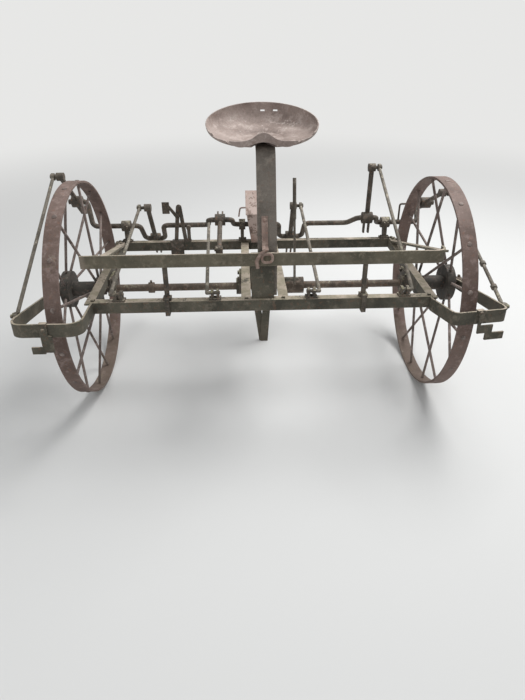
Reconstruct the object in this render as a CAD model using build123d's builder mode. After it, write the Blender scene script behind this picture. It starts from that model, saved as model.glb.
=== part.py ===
from build123d import *
import math
import os

os.makedirs("parts", exist_ok=True)

# Sizes in millimetres. X runs along the axle, Y to the rear, Z up, and the ground under the wheels is Z = 0.
# Everything is drawn with the frame level and the axle at Y = 0. It then leans back about the axle and moves
# forward by length_shift, so that the middle of the whole length stands over the origin.
lean_deg = 5.14
length_shift = 65.04
wheel_radius = 480.0
rim_width = 60.0
rim_thick = 9.0
rim_centre = 798.0
hub_inner = 742.0
hub_outer = 912.0
hub_radius = 34.0
flange_radius = 56.0
flange_thick = 14.0
drum_radius = 84.0
spoke_radius = 6.0
spoke_count = 16
axle_radius = 17.0
axle_end = 958.0
running_gap = 0.1
seat_gap = 0.3

frame_top = 566.0
front_edge = -384.0
rear_edge = 444.0
front_half = 687.0
rear_half = 760.0
angle_wide = 40.0
angle_deep = 46.0
angle_thick = 6.0
side_front = front_half + 21
side_rear = rear_half - 8
side_wide = 36.0
centre_left = -86.0
centre_right = 106.0

crank_y = 482.0
crank_z = 648.0
crank_radius = 13.0
throw_radius = 128.0
crank_bend = 28.0
bearing_at = 696.0
bearing_wide = 46.0
bearing_narrow = 34.0
bearing_wall = 15.0
arm_radius = 12.0
arm_length = 250.0
boss_wall = 16.0
boss_wide = 52.0
joint_radius = 8.0
rod_radius = 7.5
rod_length = 800.0
outer_rod_length = 845.0
rod_pivot_y = -362.0
rod_pivot_z = 592.0
outer_pivot_y = -451.0
outer_pivot_z = 566.0

guard_root = 678.0
guard_half = 930.0
guard_thick = 8.0
guard_deep = 52.0

bow_z = 732.0
bow_deep = 50.0
bow_thick = 9.0
bow_left = -695.0
bow_right = 720.0
bow_bend = 40.0

post_wide = 75.0
post_thick = 10.0
post_x = 20.0
seat_half = 222.0
seat_long = 389.0
seat_sheet = 4.0

pole_bolt_radius = 8.0
pole_bolt_y = -330.0
pole_bolt_drop = 24.0
tine_bolt_radius = 6.5
tine_bolt_from_end = 18.0


def lean(piece):
    """The level piece as it stands: tipped back about the axle and moved to the origin."""
    tipped = piece.rotate(Axis((0, 0, wheel_radius), (1, 0, 0)), -lean_deg)
    return tipped.translate((0, -length_shift, 0))


def block(x, y, z, mode=Mode.ADD):
    """A box between two limits on each axis."""
    middle = ((x[0] + x[1]) / 2, (y[0] + y[1]) / 2, (z[0] + z[1]) / 2)
    with Locations(middle):
        Box(abs(x[1] - x[0]), abs(y[1] - y[0]), abs(z[1] - z[0]), mode=mode)


def slab(plane, outline, thick, mode=Mode.ADD):
    """A closed outline on a plane, thickened along the plane's normal."""
    with BuildSketch(plane) as face:
        with BuildLine():
            Polyline(*outline, close=True)
        make_face()
    extrude(face.sketch, amount=thick, mode=mode)


def bar(start, end, radius, mode=Mode.ADD):
    """A straight round bar between two points."""
    run = Vector(*end) - Vector(*start)
    with BuildSketch(Plane(origin=start, z_dir=run)) as face:
        Circle(radius)
    extrude(face.sketch, amount=run.length, mode=mode)


def bent_bar(points, radius, bend, close=False):
    """A round bar swept along a line with rounded bends."""
    with BuildLine() as line:
        FilletPolyline(*points, radius=bend, close=close)
    with BuildSketch(Plane(origin=line.line @ 0, z_dir=line.line % 0)) as face:
        Circle(radius)
    sweep(face.sketch, path=line.line)


def band(plane, points, thick, deep, bend):
    """A flat bar on edge that follows a bent line on a plane, with half its depth on each side."""
    with BuildSketch(plane) as face:
        with BuildLine() as line:
            FilletPolyline(*points, radius=bend)
        trace(line.line, line_width=thick)
    extrude(face.sketch, amount=deep / 2, both=True)


def ring(x, y, z, outer, inner, mode=Mode.ADD):
    """A sleeve along X between two X values, with its bore."""
    bar((x[0], y, z), (x[1], y, z), outer, mode=mode)
    if inner > 0:
        bar((x[0] - 1, y, z), (x[1] + 1, y, z), inner, mode=Mode.SUBTRACT)


def meet(first, first_reach, second, second_reach):
    """The upper point at one reach from the first centre and another from the second, in Y and Z."""
    dy = second[0] - first[0]
    dz = second[1] - first[1]
    gap = math.hypot(dy, dz)
    along = (first_reach**2 - second_reach**2 + gap**2) / (2 * gap)
    rise = math.sqrt(first_reach**2 - along**2)
    base = (first[0] + along * dy / gap, first[1] + along * dz / gap)
    one = (base[0] - rise * dz / gap, base[1] + rise * dy / gap)
    two = (base[0] + rise * dz / gap, base[1] - rise * dy / gap)
    return one if one[1] > two[1] else two


# One line per fork: its place along the crank, the crank's angle above the rear, the rod's offset, the shank left,
# and half of the throw's width at the crankshaft and at the pin. The outer two throws end beyond their pins.
forks = [
    {"n": 1, "x": -940.0, "angle": 80.0, "out": -34.0, "shank": 120.0, "throw_half": 68.0, "pin_half": 52.0},
    {"n": 2, "x": -562.0, "angle": -47.0, "out": -42.0, "shank": 120.0, "throw_half": 62.0, "pin_half": 54.0},
    {"n": 3, "x": -190.0, "angle": 155.0, "out": -32.0, "shank": 62.0, "throw_half": 68.0, "pin_half": 60.0},
    {"n": 4, "x": 190.0, "angle": -47.0, "out": 38.0, "shank": 185.0, "throw_half": 70.0, "pin_half": 64.0},
    {"n": 5, "x": 568.0, "angle": 155.0, "out": 36.0, "shank": 78.0, "throw_half": 82.0, "pin_half": 48.0},
    {"n": 6, "x": 940.0, "angle": 38.0, "out": 34.0, "shank": 120.0, "throw_half": 68.0, "pin_half": 52.0},
]
pin_end = 44.0
# Fork three has come off its rod: the arm has dropped forward, and the rod, its eye gone, stands before the throw.
dropped = 3
arm_drop_angle = 200.0
broken_tip = (-247.0, 345.0, 688.0)
for fork in forks:
    turn = math.radians(fork["angle"])
    pin = (crank_y + throw_radius * math.cos(turn), crank_z + throw_radius * math.sin(turn))
    outer = abs(fork["x"]) > rim_centre
    foot = (outer_pivot_y, outer_pivot_z) if outer else (rod_pivot_y, rod_pivot_z)
    reach = outer_rod_length if outer else rod_length
    top = meet(pin, arm_length, foot, reach)
    if fork["n"] == dropped:
        drop = math.radians(arm_drop_angle)
        top = (pin[0] + arm_length * math.cos(drop), pin[1] + arm_length * math.sin(drop))
    fork["pin"] = pin
    fork["top"] = top
    fork["foot"] = foot
    fork["outer"] = outer

# Frame: two angle-iron cross beams, two splayed side angles and two centre angles.
with BuildPart() as front_beam:
    block((-front_half, front_half), (front_edge, front_edge + angle_wide), (frame_top - angle_thick, frame_top))
    block((-front_half, front_half), (front_edge, front_edge + angle_thick), (frame_top - angle_deep, frame_top))
front_beam.part = lean(front_beam.part)
front_beam.part.label = "front_beam"
export_step(front_beam.part, "parts/front_beam.step")

with BuildPart() as rear_beam:
    block((-rear_half, rear_half), (rear_edge, rear_edge + angle_wide), (frame_top - angle_thick, frame_top))
    block((-rear_half, rear_half), (rear_edge, rear_edge + angle_thick), (frame_top - angle_deep, frame_top))
rear_beam.part = lean(rear_beam.part)
rear_beam.part.label = "rear_beam"
export_step(rear_beam.part, "parts/rear_beam.step")

member_front = front_edge + angle_thick
member_top = frame_top - angle_thick
for side, name in ((-1, "left"), (1, "right")):
    with BuildPart() as side_member:
        front_x = side * side_front
        rear_x = side * side_rear
        in_front = side * (side_front - side_wide)
        in_rear = side * (side_rear - side_wide)
        web_front = side * (side_front - side_wide + angle_thick)
        web_rear = side * (side_rear - side_wide + angle_thick)
        slab(
            Plane.XY.offset(member_top - angle_thick),
            [(front_x, member_front), (rear_x, rear_edge), (in_rear, rear_edge), (in_front, member_front)],
            angle_thick,
        )
        slab(
            Plane.XY.offset(member_top - angle_wide),
            [(web_front, member_front), (web_rear, rear_edge), (in_rear, rear_edge), (in_front, member_front)],
            angle_wide,
        )
    side_member.part = lean(side_member.part)
    side_member.part.label = f"side_member_{name}"
    export_step(side_member.part, f"parts/side_member_{name}.step")

# The pole's bolt goes through both centre members' webs, from side to side.
pole_bolt_z = member_top - pole_bolt_drop
for start, name in ((centre_left, "left"), (centre_right - angle_wide, "right")):
    with BuildPart() as centre_member:
        block((start, start + angle_wide), (member_front, rear_edge), (member_top - angle_thick, member_top))
        web = start if name == "left" else start + angle_wide - angle_thick
        block((web, web + angle_thick), (member_front, rear_edge), (member_top - angle_wide, member_top))
        hole = (web - 1, pole_bolt_y, pole_bolt_z)
        bar(hole, (web + angle_thick + 1, pole_bolt_y, pole_bolt_z), pole_bolt_radius, mode=Mode.SUBTRACT)
    centre_member.part = lean(centre_member.part)
    centre_member.part.label = f"centre_member_{name}"
    export_step(centre_member.part, f"parts/centre_member_{name}.step")

# Foot bar: a flat bar on edge over the front beam, square at its left end and turned back at its right end. From
# each end a narrower bar lies flat and slopes down to the side member's top, where its foot is bent level.
# The side bars' columns: outer edge at the front and at the rear.
bow_front = front_edge + bow_thick / 2
side_bar_wide = 32.0
side_bar_top = bow_z + bow_deep / 2
side_bar_foot = rear_edge - 46
foot_rest = member_top + seat_gap + bow_thick / 2
side_bars = [(bow_left + 77, -side_rear + 12, 1), (bow_right, side_rear - 2, -1)]
with BuildPart() as foot_bar:
    for front_x, rear_x, way in side_bars:
        edge = min(front_x, rear_x, front_x + way * side_bar_wide, rear_x + way * side_bar_wide)
        profile = [
            (bow_front, side_bar_top - bow_thick / 2),
            (side_bar_foot, foot_rest),
            (rear_edge - 1, foot_rest),
        ]
        with BuildSketch(Plane.YZ.offset(edge)) as side_face:
            with BuildLine() as side_line:
                FilletPolyline(*profile, radius=30)
            trace(side_line.line, line_width=bow_thick)
        extrude(side_face.sketch, amount=2 * side_bar_wide + abs(rear_x - front_x))
    with BuildSketch(Plane.XY.offset(frame_top - angle_deep)) as side_plan:
        for front_x, rear_x, way in side_bars:
            with BuildLine():
                Polyline(
                    (front_x, bow_front),
                    (rear_x, rear_edge - 1),
                    (rear_x + way * side_bar_wide, rear_edge - 1),
                    (front_x + way * side_bar_wide, bow_front),
                    close=True,
                )
            make_face()
    extrude(side_plan.sketch, amount=side_bar_top, mode=Mode.INTERSECT)
    turned = bow_right - bow_thick / 2
    front_line = [(bow_left, bow_front), (turned, bow_front), (turned, bow_front + bow_bend + 20)]
    band(Plane.XY.offset(bow_z), front_line, bow_thick, bow_deep, bow_bend)
foot_bar.part = lean(foot_bar.part)
foot_bar.part.label = "foot_bar"
export_step(foot_bar.part, "parts/foot_bar.step")

# Stays: round rods that carry the foot bar on the front beam, with a hooked clamp at the foot.
stay_left = -380.0
stay_right = 406.0
stay_radius = 10.0
stay_y = front_edge + bow_thick + stay_radius + 4
with BuildPart() as foot_stays:
    for x in (stay_left, stay_right):
        bar((x, stay_y, frame_top), (x, stay_y, bow_z + 12), stay_radius)
        block((x - 16, x + 16), (stay_y - 14, stay_y + 16), (frame_top, frame_top + 14))
        block((x - 9, x + 9), (front_edge - 9, front_edge), (frame_top - angle_deep - 12, frame_top + 14))
        block((x - 9, x + 9), (front_edge - 9, stay_y), (frame_top, frame_top + 14))
        hook_low = frame_top - angle_deep - 12
        block((x - 9, x + 9), (front_edge - 9, front_edge + 30), (hook_low, frame_top - angle_deep))
foot_stays.part = lean(foot_stays.part)
foot_stays.part.label = "foot_stays"
export_step(foot_stays.part, "parts/foot_stays.step")

# Wheel guards: a flat bar on edge from the front beam round the wheel, then back and down to the axle's end. Both
# are bent, each in its own way. Their corners are given by how far out and how far forward they stand. The hooks'
# outlines start at the inner corner: the first number runs along the bar, the second up from its middle.
guard_middle = frame_top - guard_deep / 2
guards = [
    {
        "name": "left",
        "side": -1,
        "inner_corner": (guard_root - 6, -573.0),
        "outer_corner": (guard_half, -571.0),
        "bend": 48.0,
        "hook": [
            (146, 31), (118, 31), (118, -16), (106, -20), (106, -85),
            (139, -85), (139, -91), (187, -91), (187, -63), (146, -63),
        ],
        "lip": (118, 146),
    },
    {
        "name": "right",
        "side": 1,
        "inner_corner": (guard_root + 39, -549.0),
        "outer_corner": (guard_half, -516.0),
        "bend": 24.0,
        "hook": [
            (87, 31), (115, 31), (115, 8), (107, -32), (161, -32), (161, -65),
            (213, -65), (213, -95), (135, -95), (135, -65), (99, -65), (95, 0),
        ],
        "lip": (87, 115),
    },
]
hook_thick = 7.0
lip_thick = 31.0 - guard_deep / 2
arm_half = guard_deep / 2 - 4
stud_z = outer_pivot_z - 20
for guard in guards:
    side, name = guard["side"], guard["name"]
    near, far = guard["inner_corner"], guard["outer_corner"]
    guard_start = far[1] + guard["bend"] + 12
    with BuildPart() as wheel_guard:
        points = [
            (side * guard_root, front_edge),
            (side * guard_root, front_edge - 20),
            (side * near[0], near[1]),
            (side * far[0], far[1]),
            (side * guard_half, guard_start + 12),
        ]
        band(Plane.XY.offset(guard_middle), points, guard_thick, guard_deep, guard["bend"])
        low = side * guard_half - guard_thick / 2
        arm_up = [
            (guard_start, guard_middle + guard_deep / 2),
            (guard_start, guard_middle - guard_deep / 2),
            (-20, wheel_radius - arm_half),
            (30, wheel_radius - arm_half),
            (30, wheel_radius + arm_half),
            (-20, wheel_radius + arm_half),
        ]
        slab(Plane.YZ.offset(low), arm_up, guard_thick)
        ring((low - 1, low + guard_thick + 1), 0, wheel_radius, axle_radius + running_gap, 0, mode=Mode.SUBTRACT)
        stud = side * (guard_half + guard_thick / 2)
        bar((stud, outer_pivot_y, stud_z), (stud + side * 34, outer_pivot_y, stud_z), joint_radius)
    wheel_guard.part = lean(wheel_guard.part)
    wheel_guard.part.label = f"wheel_guard_{name}"
    export_step(wheel_guard.part, f"parts/wheel_guard_{name}.step")

    # Guard bracket: a plate hooked over the guard's front run, with its foot turned to the side.
    run = (Vector(*far) - Vector(*near)).normalized()
    face_out = Vector(side * run.Y, -run.X, 0)
    face_at = Vector(side * near[0], near[1], guard_middle) + face_out * (guard_thick / 2)
    face_plane = Plane(origin=face_at, x_dir=(run.X, side * run.Y, 0), z_dir=face_out)
    with BuildPart() as guard_bracket:
        slab(face_plane, [(side * along, up) for along, up in guard["hook"]], hook_thick)
        lip_in, lip_out = side * guard["lip"][0], side * guard["lip"][1]
        lip_low, lip_high = guard_deep / 2, guard_deep / 2 + lip_thick
        slab(
            face_plane,
            [(lip_in, lip_low), (lip_out, lip_low), (lip_out, lip_high), (lip_in, lip_high)],
            -guard_thick - 4,
        )
    guard_bracket.part = lean(guard_bracket.part)
    guard_bracket.part.label = f"guard_bracket_{name}"
    export_step(guard_bracket.part, f"parts/guard_bracket_{name}.step")

# Axle: one round bar from guard to guard, with a bearing block and a clutch sleeve by the centre members.
with BuildPart() as axle:
    bar((-axle_end, 0, wheel_radius), (axle_end, 0, wheel_radius), axle_radius)
    for x in (-1, 1):
        near = x * (guard_half + guard_thick / 2)
        bar((near, 0, wheel_radius), (x * axle_end, 0, wheel_radius), axle_radius + 9)
        collar = x * (hub_inner - seat_gap)
        bar((collar, 0, wheel_radius), (collar - x * 22, 0, wheel_radius), axle_radius + 12)
    for x in (-520.0, 485.0):
        bar((x, 0, wheel_radius), (x + 26, 0, wheel_radius), axle_radius + 8)
    bar((118, 0, wheel_radius), (205, 0, wheel_radius), 38)
axle.part = lean(axle.part)
axle.part.label = "axle"
export_step(axle.part, "parts/axle.step")

# Hangers: plates bolted inside the frame angles, each with a boss that the axle turns in.
hanger_thick = 10.0
hanger_half = 62.0
side_slope = (side_rear - side_front) / (rear_edge - member_front)
hanger_out = side_front - side_wide + side_slope * (-hanger_half - member_front) - seat_gap
hanger_starts = (-hanger_out, hanger_out - hanger_thick, centre_left - hanger_thick - seat_gap)
with BuildPart() as axle_hangers:
    for start in hanger_starts:
        outline = [
            (-hanger_half, member_top - angle_wide - 2),
            (-hanger_half, member_top - angle_wide + 24),
            (hanger_half, member_top - angle_wide + 24),
            (hanger_half, member_top - angle_wide - 2),
            (38, wheel_radius - 24),
            (-38, wheel_radius - 24),
        ]
        slab(Plane.YZ.offset(start), outline, hanger_thick)
        bar((start - 14, 0, wheel_radius), (start + hanger_thick + 14, 0, wheel_radius), 38)
    bore = axle_radius + running_gap
    bar((-side_front - 40, 0, wheel_radius), (side_front + 40, 0, wheel_radius), bore, mode=Mode.SUBTRACT)
axle_hangers.part = lean(axle_hangers.part)
axle_hangers.part.label = "axle_hangers"
export_step(axle_hangers.part, "parts/axle_hangers.step")

# Crankshaft: one round bar bent into six throws, the outer two overhung behind the wheels.
with BuildPart() as crankshaft:
    points = []
    for fork in forks:
        x, throw_half, pin_half = fork["x"], fork["throw_half"], fork["pin_half"]
        around = [
            (x - throw_half, crank_y, crank_z),
            (x - pin_half, *fork["pin"]),
            (x + pin_half, *fork["pin"]),
            (x + throw_half, crank_y, crank_z),
        ]
        if fork is forks[0]:
            around = [(x - pin_end, *fork["pin"])] + around[2:]
        if fork is forks[-1]:
            around = around[:2] + [(x + pin_end, *fork["pin"])]
        points += around
    bent_bar(points, crank_radius, crank_bend)
crankshaft.part = lean(crankshaft.part)
crankshaft.part.label = "crankshaft"
export_step(crankshaft.part, "parts/crankshaft.step")

# Crank bearings: bracket feet on the rear beam, a split housing above with two cap bolts. The centre one has a
# housing on each side of the drive case.
housing = crank_radius + bearing_wall
bearings = [
    ("crank_bearing_left", [-bearing_at], bearing_wide),
    ("crank_bearing_centre", [-78.0, 66.0], bearing_narrow),
    ("crank_bearing_right", [bearing_at], bearing_wide),
]
for name, places, wide in bearings:
    with BuildPart() as crank_bearing:
        half = wide / 2
        for x in places:
            block((x - half - 4, x + half + 4), (rear_edge + 4, rear_edge + angle_wide), (frame_top, frame_top + 9))
            outline = [
                (rear_edge + 6, frame_top + 4),
                (rear_edge + angle_wide, frame_top + 4),
                (crank_y + housing - 6, crank_z - 8),
                (crank_y - housing + 4, crank_z - 8),
            ]
            slab(Plane.YZ.offset(x - 9), outline, 18)
            bar((x - half, crank_y, crank_z), (x + half, crank_y, crank_z), housing)
            block((x - 12, x + 12), (crank_y - housing - 14, crank_y + housing + 14), (crank_z - 6, crank_z + 6))
            bore_in, bore_out = (x - half - 1, crank_y, crank_z), (x + half + 1, crank_y, crank_z)
            bar(bore_in, bore_out, crank_radius + running_gap, mode=Mode.SUBTRACT)
    crank_bearing.part = lean(crank_bearing.part)
    crank_bearing.part.label = name
    export_step(crank_bearing.part, f"parts/{name}.step")

# Fork arms: a round arm from the crank pin's boss up to the rod joint, and the stub of the fork's shank below.
boss = crank_radius + boss_wall
for fork in forks:
    with BuildPart() as fork_arm:
        x = fork["x"]
        pin, top = fork["pin"], fork["top"]
        up = ((top[0] - pin[0]) / arm_length, (top[1] - pin[1]) / arm_length)
        low = (pin[0] - up[0] * fork["shank"], pin[1] - up[1] * fork["shank"])
        bar((x, pin[0] + up[0] * 10, pin[1] + up[1] * 10), (x, *top), arm_radius)
        bar((x - boss_wide / 2, *pin), (x + boss_wide / 2, *pin), boss)
        bar((x - 17, *top), (x + 17, *top), 19)
        for off in (-16, 8):
            across = Plane(origin=(x + off, *pin), x_dir=(0, up[1], -up[0]), z_dir=(1, 0, 0))
            slab(across, [(-14, 0), (14, 0), (11, -fork["shank"]), (-11, -fork["shank"])], 8)
        hole = fork["shank"] - tine_bolt_from_end
        hole_at = (pin[0] - up[0] * hole, pin[1] - up[1] * hole)
        bar((x - 20, *hole_at), (x + 20, *hole_at), tine_bolt_radius, mode=Mode.SUBTRACT)
        pin_reach = 23 if fork["n"] == dropped else abs(fork["out"]) + 14
        bar((x, *top), (x + math.copysign(pin_reach, fork["out"]), *top), joint_radius)
        bar((x - boss_wide, *pin), (x + boss_wide, *pin), crank_radius + running_gap, mode=Mode.SUBTRACT)
    fork_arm.part = lean(fork_arm.part)
    fork_arm.part.label = f"fork_arm_{fork['n']}"
    export_step(fork_arm.part, f"parts/fork_arm_{fork['n']}.step")

# Control rods: an eye on the fork's joint pin, a round rod, and a foot on the front beam or the guard. Collars are
# given as shares of the rod's length from its foot.
eye_thick = 13.0
eye_radius = 17.0
rod_collars = {6: (0.13, 0.31)}
for fork in forks:
    with BuildPart() as control_rod:
        way = math.copysign(1, fork["out"])
        x = fork["x"] + fork["out"]
        foot_x = way * (guard_half + guard_thick / 2 + 12) if fork["outer"] else x
        foot = (foot_x, fork["foot"][0], stud_z if fork["outer"] else fork["foot"][1])
        top = broken_tip if fork["n"] == dropped else (x, *fork["top"])
        eyes = [] if fork["n"] == dropped else [top]
        bar(foot, top, rod_radius)
        if fork["outer"]:
            eyes.append(foot)
        else:
            with Locations(foot):
                Sphere(rod_radius)
            bar(foot, (x - way * 52, *foot[1:]), rod_radius)
        for share in rod_collars.get(fork["n"], ()):
            run = Vector(*top) - Vector(*foot)
            collar = Vector(*foot) + run * share
            bar(collar, collar + run.normalized() * 16, rod_radius + 5)
        for eye in eyes:
            bar((eye[0] - eye_thick / 2, *eye[1:]), (eye[0] + eye_thick / 2, *eye[1:]), eye_radius)
        for eye in eyes:
            bar((eye[0] - 20, *eye[1:]), (eye[0] + 20, *eye[1:]), joint_radius + running_gap, mode=Mode.SUBTRACT)
    control_rod.part = lean(control_rod.part)
    control_rod.part.label = f"control_rod_{fork['n']}"
    export_step(control_rod.part, f"parts/control_rod_{fork['n']}.step")

# Rod brackets: two ears on a foot for each inner rod, standing on the front beam's top.
with BuildPart() as rod_brackets:
    for fork in forks[1:-1]:
        way = math.copysign(1, fork["out"])
        x = fork["x"] + fork["out"] - way * 32
        block((x - 24, x + 24), (front_edge + 4, front_edge + angle_wide), (frame_top, frame_top + 7))
        for off in (-16, 6):
            outline = [
                (front_edge + 5, frame_top + 4),
                (front_edge + angle_wide, frame_top + 4),
                (rod_pivot_y + 15, rod_pivot_z + 6),
                (rod_pivot_y + 8, rod_pivot_z + 14),
                (rod_pivot_y - 8, rod_pivot_z + 14),
                (rod_pivot_y - 15, rod_pivot_z + 6),
            ]
            slab(Plane.YZ.offset(x + off), outline, 10)
        bore_in, bore_out = (x - 30, rod_pivot_y, rod_pivot_z), (x + 30, rod_pivot_y, rod_pivot_z)
        bar(bore_in, bore_out, rod_radius + running_gap, mode=Mode.SUBTRACT)
rod_brackets.part = lean(rod_brackets.part)
rod_brackets.part.label = "rod_brackets"
export_step(rod_brackets.part, "parts/rod_brackets.step")

# Post plate: a wide plate behind the foot bar, with its foot turned back on the front beam.
plate_front = front_edge + bow_thick + 8
plate_thick = 8.0
plate_top = bow_z + 22
plate_across = (-44.0, 46.0)
with BuildPart() as post_plate:
    block(plate_across, (plate_front, plate_front + plate_thick), (frame_top, plate_top))
    block(plate_across, (plate_front, front_edge + angle_wide), (frame_top, frame_top + plate_thick))
post_plate.part = lean(post_plate.part)
post_plate.part.label = "post_plate"
export_step(post_plate.part, "parts/post_plate.step")

# Seat post: a flat spring bar up from the plate, leaning back, then along the seat's tipped base.
seat_x = 12.0
seat_y = -80.0
seat_z = 1132.0
seat_tip = 10.0
post_y = plate_front + plate_thick + post_thick / 2
post_foot = plate_top - 6
post_line = [(post_y, frame_top + plate_thick + 2), (post_y, post_foot)]
for y in (seat_y - 131, seat_y + 50):
    under = (post_thick / 2 + seat_gap) / math.cos(math.radians(seat_tip))
    post_line.append((y, seat_z + (y - seat_y) * math.tan(math.radians(seat_tip)) - under))
with BuildPart() as seat_post:
    with BuildSketch(Plane.YZ.offset(post_x - post_wide / 2)) as post_face:
        with BuildLine() as post_edge:
            FilletPolyline(*post_line, radius=60)
        trace(post_edge.line, line_width=post_thick)
    extrude(post_face.sketch, amount=post_wide)
seat_post.part = lean(seat_post.part)
seat_post.part.label = "seat_post"
export_step(seat_post.part, "parts/seat_post.step")

# Seat: a pressed steel pan. Its hollow is drawn as ellipses one above the other, and a fold rises in the middle of
# its kidney-shaped front edge, where the sheet turns down into a low wall with a wavy lip.
# The rings' columns: share of the rise, width, length.
rim_tip = 20.0
seat_rise = 60.0
rim_shift = -14.5
rings = [(0.0, 0.40, 0.41), (0.22, 0.72, 0.70), (0.5, 0.93, 0.92), (1.0, 1.0, 1.0)]
front_edge_line = [
    (-230, -175), (-190, -213), (-145, -239), (-105, -243), (-60, -234),
    (0, -228), (60, -234), (105, -243), (145, -239), (190, -213), (230, -175),
]
lip_line = [
    (-230, 1178), (-190, 1153), (-145, 1143), (-105, 1140), (-68, 1141), (-45, 1148), (-24, 1161),
    (0, 1168), (24, 1161), (45, 1148), (68, 1141), (105, 1140), (145, 1143), (190, 1153), (230, 1178),
]
wall_half = 128.0
wall_foot_line = [
    (-140, 1146), (-114, 1126), (-88, 1119), (-52, 1124), (0, 1135), (52, 1124), (88, 1119), (114, 1126), (140, 1146),
]
folds = [
    {"y": -248.0, "z": 1119.0, "half": 61.0, "high": 57.0},
    {"y": -118.0, "z": 1128.0, "half": 8.0, "high": 7.0},
]
slot_places = (20.0, 73.0)
slot_z = 1226.0
with BuildPart() as seat:
    for inset, mode in ((0.0, Mode.ADD), (seat_sheet, Mode.SUBTRACT)):
        faces = []
        for rise, across, along in rings:
            tip = math.radians(seat_tip + (rim_tip - seat_tip) * rise)
            middle = (seat_x, seat_y + rim_shift * rise, seat_z + seat_rise * rise + inset)
            plane = Plane(origin=middle, x_dir=(1, 0, 0), z_dir=(0, -math.sin(tip), math.cos(tip)))
            with BuildSketch(plane) as face:
                Ellipse(seat_half * across - inset, seat_long / 2 * along - inset)
            faces.append(face.sketch)
        loft(faces, mode=mode)
    for inset, skirt, mode in ((0.0, 0.0, Mode.ADD), (seat_sheet, 8.0, Mode.SUBTRACT)):
        faces = []
        for fold in folds:
            half, high = fold["half"] - inset, fold["high"] - inset
            fold_plane = Plane(origin=(seat_x, fold["y"], fold["z"]), x_dir=(1, 0, 0), z_dir=(0, -1, 0))
            with BuildSketch(fold_plane) as face:
                with BuildLine():
                    ThreePointArc((-half, 0), (0, high), (half, 0))
                    Polyline((half, 0), (half, -skirt - 1), (-half, -skirt - 1), (-half, 0))
                make_face()
            faces.append(face.sketch)
        loft(faces, mode=mode)
    with BuildSketch(Plane.XY.offset(seat_z - 80)) as front_cut:
        with BuildLine():
            Spline(*[(seat_x + x, y) for x, y in front_edge_line])
            Polyline((seat_x + 230, -175), (seat_x + 230, -330), (seat_x - 230, -330), (seat_x - 230, -175))
        make_face()
    extrude(front_cut.sketch, amount=200, mode=Mode.SUBTRACT)
    with BuildSketch(Plane.XY.offset(wall_foot_line[0][1] - 40)) as wall_face:
        with BuildLine():
            Spline(*[(seat_x + x, y) for x, y in front_edge_line])
            Spline(*[(seat_x + x, y + seat_sheet) for x, y in front_edge_line])
            for x, y in (front_edge_line[0], front_edge_line[-1]):
                Line((seat_x + x, y), (seat_x + x, y + seat_sheet))
        make_face()
        with Locations((seat_x, front_edge_line[0][1])):
            Rectangle(2 * wall_half, 200, mode=Mode.INTERSECT)
    extrude(wall_face.sketch, amount=80)
    # The lip's upper line and the wall's foot line are each cut by a spline seen from the front.
    for line, back, away in ((lip_line, 175, 150), (wall_foot_line, 222, -60)):
        with BuildSketch(Plane.XZ.offset(back)) as beyond:
            with BuildLine():
                Spline(*[(seat_x + x, z) for x, z in line])
                first, last = line[0], line[-1]
                Polyline(
                    (seat_x + last[0], last[1]),
                    (seat_x + last[0], last[1] + away),
                    (seat_x + first[0], first[1] + away),
                    (seat_x + first[0], first[1]),
                )
            make_face()
        extrude(beyond.sketch, amount=90, mode=Mode.SUBTRACT)
    for x in slot_places:
        block((x - 9, x + 9), (seat_y + 110, seat_y + 190), (slot_z - 3, slot_z + 3), mode=Mode.SUBTRACT)
seat.part = lean(seat.part)
seat.part.label = "seat"
export_step(seat.part, "parts/seat.step")

# Hook: a strip down the post's front that turns over the foot bar, with a horn and a link that hang before it.
strip_x = 11.0
strip_wide = 24.0
strip_thick = 6.0
post_run = (Vector(*post_line[2]) - Vector(*post_line[1])).normalized()
strip_off = (post_thick + strip_thick) / 2
horn_y = front_edge - 13
with BuildPart() as hitch_hook:
    strip_line = []
    for up_post in (139.0, 22.0):
        at = Vector(*post_line[1]) + post_run * up_post
        strip_line.append((at.X - post_run.Y * strip_off, at.Y + post_run.X * strip_off))
    strip_line.append((horn_y, strip_line[-1][1]))
    band(Plane.YZ.offset(strip_x), strip_line, strip_thick, strip_wide, 12)
    horn = [(14, horn_y + 6, 771), (-8, horn_y - 3, 759), (-23, horn_y - 3, 732), (-19, horn_y - 3, 704)]
    bent_bar(horn, 7, 12)
    link = [(-2, horn_y - 2, 724), (38, horn_y - 2, 728), (38, horn_y - 2, 760), (-2, horn_y - 2, 756)]
    bent_bar(link, 5, 14, close=True)
hitch_hook.part = lean(hitch_hook.part)
hitch_hook.part.label = "hitch_hook"
export_step(hitch_hook.part, "parts/hitch_hook.step")

# Hand lever: a long flat lever on a cross pin beside the right centre member.
lever_x = 152.0
with BuildPart() as hand_lever:
    pivot = (-70.0, 536.0)
    grip = (40.0, 960.0)
    reach = math.hypot(grip[0] - pivot[0], grip[1] - pivot[1])
    along = ((grip[0] - pivot[0]) / reach, (grip[1] - pivot[1]) / reach)
    lever_plane = Plane(origin=(lever_x, *pivot), x_dir=(0, along[1], -along[0]), z_dir=(1, 0, 0))
    slab(lever_plane, [(-13, -20), (13, -20), (9, reach * 0.62), (-9, reach * 0.62)], 9)
    shaft_foot = (lever_x + 4.5, pivot[0] + along[0] * reach * 0.6, pivot[1] + along[1] * reach * 0.6)
    bar(shaft_foot, (lever_x + 4.5, *grip), 8)
    bar((centre_right, *pivot), (lever_x + 22, *pivot), 9)
hand_lever.part = lean(hand_lever.part)
hand_lever.part.label = "hand_lever"
export_step(hand_lever.part, "parts/hand_lever.step")

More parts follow.
